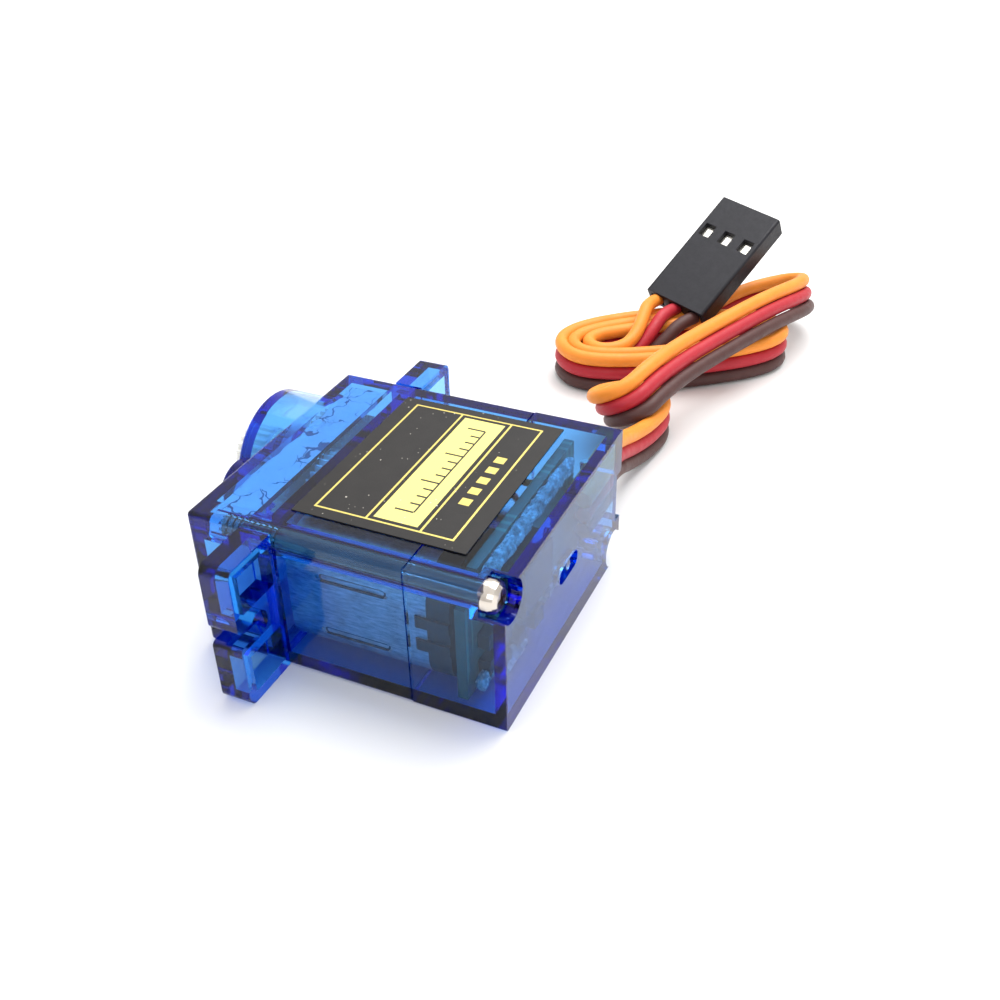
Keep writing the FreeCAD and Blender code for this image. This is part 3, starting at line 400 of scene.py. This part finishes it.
def brushed(name, colour, low, high, stretch):
    """Metal with fine lines drawn along one axis and slow patches of tarnish."""
    shader = Shader(name, colour, low, Metallic=1.0)
    dark = tuple(0.72 * part for part in colour)
    lines = shader.noise(2.2, 6.0, stretch)
    patches = shader.noise(0.5, 3.0)
    share = shader.math("MULTIPLY_ADD", lines, 0.6, shader.math("MULTIPLY", patches, 0.4))
    shader.colour(shader.mix(share, dark, colour))
    shader.roughness(shader.ramp(patches, 0.3, 0.7, low, high))
    shader.bump(lines, 0.01, 0.5)
    return shader.material


def case_screw_steel():
    """Bright nickel head on a shank darkened as painted shade, with fine lines along it."""
    shader = Shader("case_screw_steel", (0.3, 0.3, 0.3), 0.25, Metallic=1.0)
    along = shader.axis("Y")
    head = shader.ramp(along, *SCREW_HEAD_FADE)
    lines = shader.noise(2.0, 6.0, (4.0, 0.12, 4.0))
    # The shank's dark colour is painted shade, for where it lies inside the case; the fine lines are
    # real.
    shaded_shank = shader.mix(lines, (0.05, 0.055, 0.07), (0.20, 0.22, 0.25))
    nickel = shader.mix(shader.noise(1.5, 4.0), (0.58, 0.52, 0.46), (0.78, 0.73, 0.67))
    shader.colour(shader.mix(head, shaded_shank, nickel))
    shader.roughness(shader.ramp(shader.noise(1.2), 0.3, 0.7, 0.1, 0.2))
    shader.bump(lines, 0.006, 0.4)
    return shader.material


def groove_distance(shader):
    """How far a place on the can is from the nearer groove's centre line, in millimetres."""
    low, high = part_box("motor_can")
    middle = (low.z + high.z) / 2 / MM
    along = shader.math("SUBTRACT", shader.axis("Y"), (GROOVE_LOW + GROOVE_HIGH) / 2)
    reach = (GROOVE_HIGH - GROOVE_LOW) / 2
    past_end = shader.math("SUBTRACT", shader.math("ABSOLUTE", along), reach)
    past_end = shader.math("MAXIMUM", past_end, 0.0)
    off_middle = shader.math("ABSOLUTE", shader.math("SUBTRACT", shader.axis("Z"), middle))
    aside = shader.math("SUBTRACT", off_middle, GROOVE_SPACING / 2)
    along_square = shader.math("POWER", past_end, 2.0)
    aside_square = shader.math("MULTIPLY", aside, aside)
    return shader.math("SQRT", shader.math("ADD", along_square, aside_square))


def motor_can_steel():
    """Brushed, slightly tarnished can, with dark rims of painted shade round its two pressed grooves."""
    shader = Shader("motor_can_steel", (0.4, 0.42, 0.45), 0.4, Metallic=0.9)
    distance = groove_distance(shader)
    # Painted shade: a dark band round each pressed groove.
    rim = shader.between(distance, *GROOVE_SHADE)
    lines = shader.noise(1.8, 6.0, (1.0, 0.5, 3.0), roughness=0.65)
    patches = shader.noise(0.5, 4.0)
    share = shader.math("MULTIPLY_ADD", lines, 0.7, shader.math("MULTIPLY", patches, 0.35))
    steel = shader.mix(shader.ramp(share, 0.3, 0.7), (0.10, 0.12, 0.16), (0.66, 0.72, 0.80))
    shader.colour(shader.mix(shader.math("MULTIPLY", rim, 0.85), steel, (0.02, 0.022, 0.03)))
    shader.roughness(shader.ramp(patches, 0.3, 0.7, 0.34, 0.52))
    shader.bump(lines, 0.02, 0.6)
    return shader.material


def ferrite():
    """Sintered magnet: dull, dark and grainy."""
    shader = Shader("ferrite", (0.05, 0.05, 0.055), 0.7)
    grain = shader.noise(9.0, 5.0)
    shader.colour(shader.mix(grain, (0.03, 0.03, 0.035), (0.10, 0.10, 0.11)))
    shader.bump(grain, 0.03)
    return shader.material


def wound_copper():
    """Enamelled wire: round strands side by side along the coil, with painted shade between them."""
    shader = Shader("wound_copper", (0.62, 0.25, 0.10), 0.28, Metallic=0.9)
    strands = shader.node("ShaderNodeTexWave", bands_direction="Y")
    strands.inputs["Scale"].default_value = 2.6
    shader.link(shader.place, strands.inputs["Vector"])
    # The colour is darker between the strands and lighter on their crests: painted shade and light.
    shader.colour(shader.mix(strands.outputs[0], (0.35, 0.11, 0.04), (0.75, 0.33, 0.14)))
    shader.bump(strands.outputs[0], 0.05)
    return shader.material


def circuit_green():
    """Solder mask with slightly lighter, straight copper tracks under it."""
    shader = Shader("circuit_green", (0.02, 0.16, 0.11), 0.35)
    stripes = shader.node("ShaderNodeTexWave", bands_direction="X", wave_profile="SAW")
    stripes.inputs["Scale"].default_value = 0.35
    shader.link(shader.place, stripes.inputs["Vector"])
    runs = shader.math("GREATER_THAN", shader.noise(0.35, 0.0, (1.0, 1.0, 0.4)), 0.5)
    tracks = shader.math("MULTIPLY", shader.math("GREATER_THAN", stripes.outputs["Fac"], 0.62), runs)
    shader.colour(shader.mix(tracks, (0.012, 0.11, 0.075), (0.04, 0.24, 0.16)))
    shader.roughness(shader.ramp(shader.noise(2.0), 0.3, 0.7, 0.28, 0.42))
    shader.bump(tracks, 0.03)
    return shader.material


def component_grey():
    """Small ceramic parts, mottled from dark to pale."""
    shader = Shader("component_grey", (0.5, 0.5, 0.48), 0.4)
    shader.colour(shader.mix(shader.noise(1.5), (0.12, 0.11, 0.10), (0.72, 0.70, 0.66)))
    shader.bump(shader.noise(8.0), 0.02)
    return shader.material


def soft_insulation(name, colour):
    """Satin PVC: slightly uneven tone, with faint creases along the wire."""
    shader = Shader(name, colour, 0.4, Specular_IOR_Level=0.35, Subsurface_Weight=0.12)
    shader.surface.inputs["Subsurface Radius"].default_value = (1.0, 0.5, 0.25)
    shader.surface.inputs["Subsurface Scale"].default_value = 0.5 * MM
    pale = tuple(min(1.0, 1.12 * part + 0.015) for part in colour)
    deep = tuple(0.86 * part for part in colour)
    shader.colour(shader.mix(shader.noise(0.5, 4.0), deep, pale))
    shader.roughness(shader.ramp(shader.noise(1.3), 0.3, 0.7, 0.42, 0.58))
    shader.bump(shader.noise(3.5, 4.0), 0.03, 0.5)
    return shader.material


# The height of the middle lead inside the case, and the spacing of the potentiometer's wires.
LEAD_HEIGHT = 6.0
SENSOR_PITCH = 2.2
WIRE_COLOURS = {
    "signal": (0.84, 0.27, 0.022),
    "power": (0.44, 0.012, 0.026),
    "ground": (0.07, 0.023, 0.02),
}


def three_leads(name, spacing):
    """Insulation of three leads above each other: signal on top, power, then ground."""
    shader = Shader(name, WIRE_COLOURS["power"], 0.42)
    height = shader.axis("Z")
    upper = shader.math("GREATER_THAN", height, LEAD_HEIGHT + spacing / 2)
    lower = shader.math("LESS_THAN", height, LEAD_HEIGHT - spacing / 2)
    colour = shader.mix(upper, WIRE_COLOURS["power"], WIRE_COLOURS["signal"])
    colour = shader.mix(lower, colour, WIRE_COLOURS["ground"])
    shade = shader.ramp(shader.noise(1.0), 0.3, 0.7, 0.8, 1.0)
    tinted = shader.node("ShaderNodeVectorMath", operation="SCALE")
    shader.link(colour, tinted.inputs[0])
    shader.link(shade, tinted.inputs["Scale"])
    shader.colour(tinted.outputs[0])
    shader.bump(shader.noise(3.5), 0.03, 0.5)
    return shader.material


# The label's print.  X is measured from the label's left edge, and Y from its edge by the gears.
# The border runs round the print, and two more lines cross it between the border's ends.
BORDER_X = (1.0, 16.9)
LINES_Y = (1.25, 5.45, 9.75, 12.4)
LINE_WIDTH = 0.17
SQUARE_Y = (10.65, 11.5)
FIRST_SQUARE_X = 5.2
SQUARE_SPACING = 1.5
SQUARE_COUNT = 5
# The pale field's distance from the lines round it, along X and Y.
PALE_INSET = (0.5, 0.4)
# The tick scale's ends, its base line's distance from the field's edge, and that line's two sides.
SCALE_X = (3.0, 15.0)
SCALE_DROP = 2.4
SCALE_LINE = (-0.05, 0.1)
TICK_COUNT = 13
TICK_WIDTH = 0.2
TALL_EVERY = 4
TALL_TICK = 1.5
SHORT_TICK = 0.8


class LabelPrint:
    """Rectangles on the label, each an output that is 1 inside and 0 outside."""

    def __init__(self, shader):
        low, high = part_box("label")
        self.shader = shader
        self.x = shader.math("SUBTRACT", shader.axis("X"), low.x / MM)
        self.y = shader.math("SUBTRACT", high.y / MM, shader.axis("Y"))

    def area(self, x_low, x_high, y_low, y_high):
        across = self.shader.between(self.x, x_low, x_high)
        return self.shader.math("MULTIPLY", across, self.shader.between(self.y, y_low, y_high))

    def outline(self, x_low, x_high, y_low, y_high):
        width = LINE_WIDTH
        inner = self.area(x_low + width, x_high - width, y_low + width, y_high - width)
        return self.shader.math("SUBTRACT", self.area(x_low, x_high, y_low, y_high), inner)

    def either(self, first, second):
        return self.shader.math("MAXIMUM", first, second)

    def gold(self):
        """The border, the two lines across it and the row of squares."""
        gold = self.outline(*BORDER_X, LINES_Y[0], LINES_Y[-1])
        for line in LINES_Y[1:3]:
            bar = self.area(*BORDER_X, line - LINE_WIDTH / 2, line + LINE_WIDTH / 2)
            gold = self.either(gold, bar)
        width = SQUARE_Y[1] - SQUARE_Y[0]
        for number in range(SQUARE_COUNT):
            start = FIRST_SQUARE_X + SQUARE_SPACING * number
            gold = self.either(gold, self.area(start, start + width, *SQUARE_Y))
        return gold

    def pale(self):
        """The pale field between the two lines."""
        inset_x, inset_y = PALE_INSET
        across = (BORDER_X[0] + inset_x, BORDER_X[1] - inset_x)
        return self.area(*across, LINES_Y[1] + inset_y, LINES_Y[2] - inset_y)

    def scale(self):
        """A tick scale on the pale field, with every fourth tick tall."""
        base = LINES_Y[1] + PALE_INSET[1] + SCALE_DROP
        bars = self.area(*SCALE_X, base + SCALE_LINE[0], base + SCALE_LINE[1])
        for number in range(TICK_COUNT):
            tick = SCALE_X[0] + number
            height = TALL_TICK if number % TALL_EVERY == 0 else SHORT_TICK
            bar = self.area(tick - TICK_WIDTH / 2, tick + TICK_WIDTH / 2, base - height, base)
            bars = self.either(bars, bar)
        return bars


def dust_specks(shader):
    """1 on a few small specks, in loose groups."""
    dust = shader.node("ShaderNodeTexVoronoi", feature="F1")
    dust.inputs["Scale"].default_value = 1.7
    shader.link(shader.place, dust.inputs["Vector"])
    size = shader.ramp(shader.noise(0.3), 0.42, 0.7, 0.0, 0.16)
    return shader.math("LESS_THAN", dust.outputs["Distance"], size)


def printed_foil():
    """Matt black foil with thin pale-gold frames, a pale field and a plain tick scale on it."""
    shader = Shader("printed_foil", (0.02, 0.02, 0.02), 0.5, Specular_IOR_Level=0.3)
    ink = LabelPrint(shader)
    gold = ink.gold()
    colour = shader.mix(shader.noise(0.8, 4.0), (0.008, 0.007, 0.007), (0.018, 0.016, 0.015))
    colour = shader.mix(gold, colour, (0.78, 0.64, 0.18))
    colour = shader.mix(ink.pale(), colour, (0.85, 0.76, 0.22))
    colour = shader.mix(ink.scale(), colour, (0.03, 0.028, 0.025))
    shader.colour(shader.mix(dust_specks(shader), colour, (0.55, 0.52, 0.46)))
    shader.link(shader.math("MULTIPLY", gold, 0.6), shader.surface.inputs["Metallic"])
    shader.roughness(shader.ramp(gold, 0.0, 1.0, 0.5, 0.32))
    grain = shader.math("MULTIPLY", shader.noise(8.0, 5.0), 0.5)
    shader.bump(shader.math("MULTIPLY_ADD", gold, 0.4, grain), 0.03, 0.6)
    return shader.material


def paper_white():
    """The pale floor, a little uneven so that it isn't one flat value."""
    shader = Shader("paper_white", (0.8, 0.8, 0.8), 0.9)
    shader.colour(shader.mix(shader.noise(0.03, 2.0), (0.78, 0.776, 0.77), (0.81, 0.81, 0.81)))
    return shader.material


def hot_glue():
    """Cloudy, lumpy adhesive."""
    shader = Shader("hot_glue", (0.6, 0.7, 0.68), 0.2, Transmission_Weight=0.3, IOR=1.45)
    lumps = shader.noise(1.8, 5.0)
    shader.colour(shader.mix(shader.ramp(lumps, 0.35, 0.65), (0.10, 0.22, 0.22), (0.80, 0.90, 0.88)))
    shader.roughness(shader.ramp(lumps, 0.3, 0.7, 0.12, 0.35))
    shader.bump(shader.noise(3.0, 4.0), 0.25)
    return shader.material


def grease():
    """A milky smear of gear grease with fine, dark, wavy shrinkage cracks."""
    shader = Shader("grease", (0.85, 0.92, 0.97), 0.35, Transmission_Weight=0.35, IOR=1.4)
    cloud = shader.noise(0.5, 4.0)
    bend = shader.node("ShaderNodeTexNoise")
    bend.inputs["Scale"].default_value = 0.7
    shader.link(shader.place, bend.inputs["Vector"])
    shift = shader.node("ShaderNodeVectorMath", operation="MULTIPLY_ADD")
    shader.link(bend.outputs["Color"], shift.inputs[0])
    shift.inputs[1].default_value = (2.6, 2.6, 0.0)
    shader.link(shader.place, shift.inputs[2])
    cells = shader.node("ShaderNodeTexVoronoi", feature="DISTANCE_TO_EDGE")
    cells.inputs["Scale"].default_value = 0.42
    shader.link(shift.outputs[0], cells.inputs["Vector"])
    width = shader.ramp(shader.noise(0.3, 2.0), 0.4, 0.6, 0.0, 0.034)
    cracks = shader.math("LESS_THAN", cells.outputs["Distance"], width)
    milk = shader.mix(cloud, (0.66, 0.80, 0.90), (0.95, 0.98, 1.0))
    shader.colour(shader.mix(cracks, milk, (0.05, 0.12, 0.24)))
    shader.roughness(shader.ramp(cloud, 0.3, 0.7, 0.25, 0.5))
    shader.bump(shader.math("SUBTRACT", shader.noise(1.2, 5.0), cracks), 0.15)
    return shader.material


# ---------------------------------------------------------------- dressing the CAD nodes


def dress(material, *names):
    for name in names:
        node = NODES[name]
        node.data.materials.clear()
        node.data.materials.append(material)


def soften(name, width):
    """Rounds a node's hard edges without touching its mesh."""
    node = NODES[name]
    weld = node.modifiers.new("weld", "WELD")
    weld.merge_threshold = 0.001 * MM
    flat = node.modifiers.new("flat", "DECIMATE")
    flat.decimate_type = "DISSOLVE"
    flat.angle_limit = math.radians(1)
    bevel = node.modifiers.new("bevel", "BEVEL")
    bevel.width = width * MM
    bevel.segments = 3
    bevel.limit_method = "ANGLE"
    bevel.angle_limit = math.radians(30)
    bevel.harden_normals = True


def part_from_neighbours(name):
    """Draws a clear part's surface in by a hair, so that touching parts don't share a face."""
    node = NODES[name]
    weld = node.modifiers.new("weld", "WELD")
    weld.merge_threshold = 0.001 * MM
    shrink = node.modifiers.new("shrink", "DISPLACE")
    shrink.mid_level = 0.0
    shrink.strength = -SEAM_GAP * MM


def dress_all():
    dress(clear_blue(), *CASE_PARTS)
    for part in CASE_PARTS:
        part_from_neighbours(part)
    dress(printed_foil(), "label")
    along_shaft = (3.0, 0.15, 3.0)
    dress(case_screw_steel(), "case_screws")
    dress(motor_can_steel(), "motor_can")
    dress(brushed("core_steel", (0.40, 0.41, 0.43), 0.3, 0.5, along_shaft), "armature_core")
    steel = brushed("ground_steel", (0.62, 0.62, 0.63), 0.14, 0.28, along_shaft)
    dress(steel, "motor_shaft", "idler_pin", "potentiometer_shaft")
    dress(ferrite(), "motor_magnets")
    bronze = brushed("sintered_bronze", (0.50, 0.33, 0.16), 0.4, 0.6, (1, 1, 1))
    dress(bronze, "motor_bushings")
    copper = brushed("copper_strip", (0.72, 0.38, 0.22), 0.2, 0.4, along_shaft)
    dress(copper, "motor_brushes", "commutator")
    dress(wound_copper(), "armature_windings")
    tin = brushed("plated_contact", (0.80, 0.78, 0.72), 0.15, 0.35, along_shaft)
    dress(tin, "motor_terminals", "potentiometer_terminals", "potentiometer_wiper", "connector_contacts")
    gears = ("motor_pinion", "gear_1", "gear_2", "gear_3", "output_gear")
    dress(milky_nylon(), *gears)
    inner_black = satin_black("inner_black", (0.008, 0.008, 0.009), 0.4, 0.6)
    dress(inner_black, "motor_end_cap", "potentiometer_housing", "control_chip", "transistors")
    dress(satin_black("plug_black", (0.008, 0.008, 0.013), 0.42, 0.55, 0.35), "connector_housing")
    dress(circuit_green(), "circuit_board")
    dress(component_grey(), "small_components", "potentiometer_track")
    dress(three_leads("ribbon_leads", WIRE_PITCH), "cable_inner_leads")
    dress(three_leads("sensor_leads", SENSOR_PITCH), "potentiometer_wires")


# ---------------------------------------------------------------- glue and grease

BEAD_RINGS = 90
BEAD_SIDES = 28
# The film's thickness, its distance from the case's face, the number of cells along X and Y,
# its distance from the walls and how far its outline wanders.
FILM_THICKNESS = 0.12
FILM_GAP = 0.02
FILM_CELLS = (150, 60)
FILM_SIDE_MARGIN = 0.5
FILM_LOW_MARGIN = 0.15
FILM_HIGH_MARGIN = 0.3
FILM_WANDER = 0.35


def new_piece(name, shape, material):
    """Turns a bmesh into a smooth piece that rides on the case."""
    bmesh.ops.recalc_face_normals(shape, faces=shape.faces)
    mesh = bpy.data.meshes.new(name)
    shape.to_mesh(mesh)
    shape.free()
    mesh.materials.append(material)
    for face in mesh.polygons:
        face.use_smooth = True
    piece = bpy.data.objects.new(name, mesh)
    bpy.context.collection.objects.link(piece)
    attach(piece, "case")


def lumpiness(x, angle, seed):
    """A bead's uneven thickness at a place, as a share of its usual one."""
    spot = Vector((0.9 * x, 1.3 * math.cos(angle) + seed, 1.3 * math.sin(angle)))
    return 0.82 + 0.32 * noise.noise(spot) + 0.14 * noise.noise(3 * spot)


def bead_ring(shape, x, taper, middle, half, seed):
    """One ring of points round a bead; middle and half are (y, z)."""
    ring = []
    for side in range(BEAD_SIDES):
        angle = math.tau * side / BEAD_SIDES
        swell = taper * lumpiness(x, angle, seed)
        y = middle[0] + half[0] * swell * math.cos(angle)
        z = middle[1] + half[1] * swell * math.sin(angle)
        ring.append(shape.verts.new(Vector((x, y, z)) * MM))
    return ring


def glue_bead(ends, middle, half, seed):
    """A lumpy bead along X between two x values, with rounded ends."""
    shape = bmesh.new()
    rings = []
    for number in range(BEAD_RINGS + 1):
        share = number / BEAD_RINGS
        taper = min(1.0, math.sqrt(12 * min(share, 1 - share)) + 0.02)
        x = ends[0] + share * (ends[1] - ends[0])
        rings.append(bead_ring(shape, x, taper, middle, half, seed))
    for first, second in zip(rings, rings[1:]):
        for side in range(BEAD_SIDES):
            after = (side + 1) % BEAD_SIDES
            shape.faces.new((first[side], first[after], second[after], second[side]))
    shape.faces.new(rings[0])
    shape.faces.new(rings[-1])
    return shape


# Blender starts noise_vector from the time of day and nothing here seeds it, so the film's ridges
# and outline differ a little in each run.
def grease_ridge(x, y):
    """Height of the wavy shrinkage lines, from 0 to 1, at a place in millimetres."""
    spot = Vector((0.55 * x, 0.8 * y, 0.0))
    bent = spot + 0.5 * noise.noise_vector(spot)
    ridge = 1 - min(1.0, 14 * abs(noise.noise(1.3 * bent)))
    presence = 2.5 * noise.noise(0.6 * spot + Vector((7.0, 3.0, 0.0))) + 0.7
    return ridge * max(0.0, min(1.0, presence))


def film_sheet(shape, thickness):
    """One side of the film, as rows of points: the rim wanders, and is thinner than the middle."""
    top_low, top_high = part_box("top_case")
    inside = top_high.z / MM - CASE_WALL
    left = top_low.x / MM + CASE_WALL + FILM_SIDE_MARGIN
    right = top_high.x / MM - CASE_WALL - FILM_SIDE_MARGIN
    near = top_low.y / MM + FILM_LOW_MARGIN
    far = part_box("gear_3")[1].y / MM - FILM_HIGH_MARGIN
    across, along = FILM_CELLS
    sheet = []
    for i in range(across + 1):
        row = []
        for j in range(along + 1):
            x = left + (right - left) * i / across
            y = near + (far - near) * j / along
            edge = min(i / across, 1 - i / across, j / along, 1 - j / along)
            wander = FILM_WANDER * noise.noise_vector(Vector((0.5 * x, 0.5 * y, thickness)))
            wander *= 1 if edge == 0 else 0
            ridge = 0.5 * FILM_THICKNESS * grease_ridge(x, y) if thickness else 0.0
            depth = (thickness + ridge) * min(1.0, 6 * edge + 0.15)
            place = Vector((x + wander.x, y + wander.y, inside - FILM_GAP - depth))
            row.append(shape.verts.new(place * MM))
        sheet.append(row)
    return sheet


def grease_film():
    """A thin smear on the inside of the labelled face, over the gears, with an uneven outline."""
    shape = bmesh.new()
    face_side = film_sheet(shape, 0.0)
    gear_side = film_sheet(shape, FILM_THICKNESS)
    across, along = FILM_CELLS
    for sheet in (face_side, gear_side):
        for i in range(across):
            for j in range(along):
                shape.faces.new((sheet[i][j], sheet[i + 1][j], sheet[i + 1][j + 1], sheet[i][j + 1]))
    rim = [(i, 0) for i in range(across)] + [(across, j) for j in range(along)]
    rim += [(i, along) for i in range(across, 0, -1)] + [(0, j) for j in range(along, 0, -1)]
    for (i, j), (k, m) in zip(rim, rim[1:] + rim[:1]):
        shape.faces.new((face_side[i][j], face_side[k][m], gear_side[k][m], gear_side[i][j]))
    new_piece("grease_film", shape, grease())


def make_glue():
    """One bead along the board's upper edge, and a short one by its lower corner."""
    low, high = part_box("circuit_board")
    below = low.y / MM
    left = low.x / MM + 0.6
    right = high.x / MM - 1.6
    glue = hot_glue()
    upper = glue_bead((left, right), (below - 0.55, high.z / MM - 0.55), (0.6, 0.75), 0.0)
    new_piece("glue_upper", upper, glue)
    side = glue_bead((left, left + 6.0), (below - 0.5, low.z / MM + 0.9), (0.55, 0.8), 5.0)
    new_piece("glue_side", side, glue)


# ---------------------------------------------------------------- floor

# Half the floor's width in metres, and how far below the servo it lies in millimetres.
FLOOR_REACH = 1.2
FLOOR_GAP = 0.02


def make_floor():
    mesh = bpy.data.meshes.new("floor")
    shape = bmesh.new()
    bmesh.ops.create_grid(shape, x_segments=8, y_segments=8, size=FLOOR_REACH)
    shape.to_mesh(mesh)
    shape.free()
    floor = bpy.data.objects.new("floor", mesh)
    bpy.context.collection.objects.link(floor)
    floor.location.z = -FLOOR_GAP * MM
    mesh.materials.append(paper_white())


make_camera()
for wire, step in (("signal", 1), ("power", 0), ("ground", -1)):
    insulation = soft_insulation(f"{wire}_pvc", WIRE_COLOURS[wire])
    make_wire(f"{wire}_lead", f"{wire}_wire", step, insulation)
make_light()
dress_all()
soften("connector_housing", 0.22)
make_glue()
grease_film()
make_floor()
